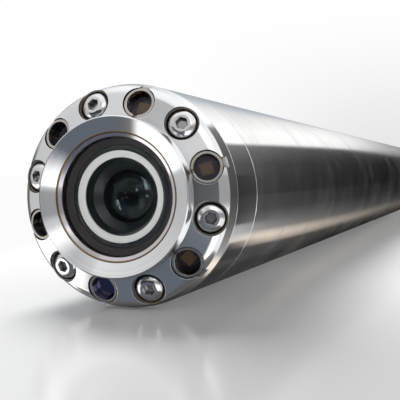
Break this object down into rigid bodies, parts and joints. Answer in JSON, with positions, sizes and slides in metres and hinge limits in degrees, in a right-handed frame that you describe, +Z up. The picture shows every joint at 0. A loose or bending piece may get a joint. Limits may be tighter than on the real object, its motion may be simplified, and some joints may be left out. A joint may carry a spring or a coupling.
{
  "type": "downhole camera",
  "caption": "Slim steel borehole camera: a long round housing with a ring of lamps and screws round a flat front window, and a threaded box at its tail.",
  "frame": {"origin": "centre of the open end face of the threaded box at the tail, where the cable head makes up", "axes": "+Y along the tool axis, out of the tail box; the lens looks along -Y; +Z is up with the tool lying on its side"},
  "size_m": [0.05, 0.76, 0.05],
  "materials": {
    "tube_steel": "satin, fine turning lines",
    "collar_steel": "satin, fine turning lines",
    "head_steel": "turned and milled",
    "tail_steel": "satin, fine turning lines",
    "bezel_steel": "fine turned face",
    "ring_steel": "polished",
    "window_glass": "clear, polished",
    "seal_rubber": "matt",
    "baffle_black": "matt",
    "barrel_black": "black anodised",
    "trim_pale": "satin",
    "hood_black": "black anodised",
    "lens_glass": "coated, polished",
    "screw_steel": "bright",
    "retainer_steel": "bright",
    "lamp_glass": "clear, polished",
    "cup_black": "matt",
    "chip_amber": "matt",
    "lamp_board_dark": "matt",
    "inner_aluminium": "machined",
    "board_green": "matt",
    "insulator_plastic": "matt",
    "contact_brass": "bright"
  },
  "bodies": {
    "root": {"camera_body": "inner_aluminium", "camera_mount": "inner_aluminium", "chassis_rails": "inner_aluminium", "collar_seals": "seal_rubber", "contact_insulator": "insulator_plastic", "contact_socket": "contact_brass", "front_bulkhead": "inner_aluminium", "head_collar": "collar_steel", "head_screws": "screw_steel", "head_seal": "seal_rubber", "housing_tube": "tube_steel", "lamp_board_1": "lamp_board_dark", "lamp_board_2": "lamp_board_dark", "lamp_board_3": "lamp_board_dark", "lamp_board_4": "lamp_board_dark", "lamp_board_5": "lamp_board_dark", "lamp_board_6": "lamp_board_dark", "lamp_chip_1": "chip_amber", "lamp_chip_2": "chip_amber", "lamp_chip_3": "chip_amber", "lamp_chip_4": "chip_amber", "lamp_chip_5": "chip_amber", "lamp_chip_6": "chip_amber", "lamp_head": "head_steel", "lamp_reflector_1": "cup_black", "lamp_reflector_2": "cup_black", "lamp_reflector_3": "cup_black", "lamp_reflector_4": "cup_black", "lamp_reflector_5": "cup_black", "lamp_reflector_6": "cup_black", "lamp_retainer_1": "retainer_steel", "lamp_retainer_2": "retainer_steel", "lamp_retainer_3": "retainer_steel", "lamp_retainer_4": "retainer_steel", "lamp_retainer_5": "retainer_steel", "lamp_retainer_6": "retainer_steel", "lamp_window_1": "lamp_glass", "lamp_window_2": "lamp_glass", "lamp_window_3": "lamp_glass", "lamp_window_4": "lamp_glass", "lamp_window_5": "lamp_glass", "lamp_window_6": "lamp_glass", "lens_baffle": "baffle_black", "lens_barrel": "barrel_black", "lens_front_glass": "lens_glass", "lens_hood": "hood_black", "lens_rear_glass": "lens_glass", "lens_trim_ring": "trim_pale", "main_window": "window_glass", "power_board": "board_green", "rear_bulkhead": "inner_aluminium", "sensor_board": "board_green", "set_screws": "screw_steel", "tail_seals": "seal_rubber", "tail_sub": "tail_steel", "video_board": "board_green", "window_bezel": "bezel_steel", "window_ring": "ring_steel", "window_seal": "seal_rubber"}
  },
  "joints": []
}
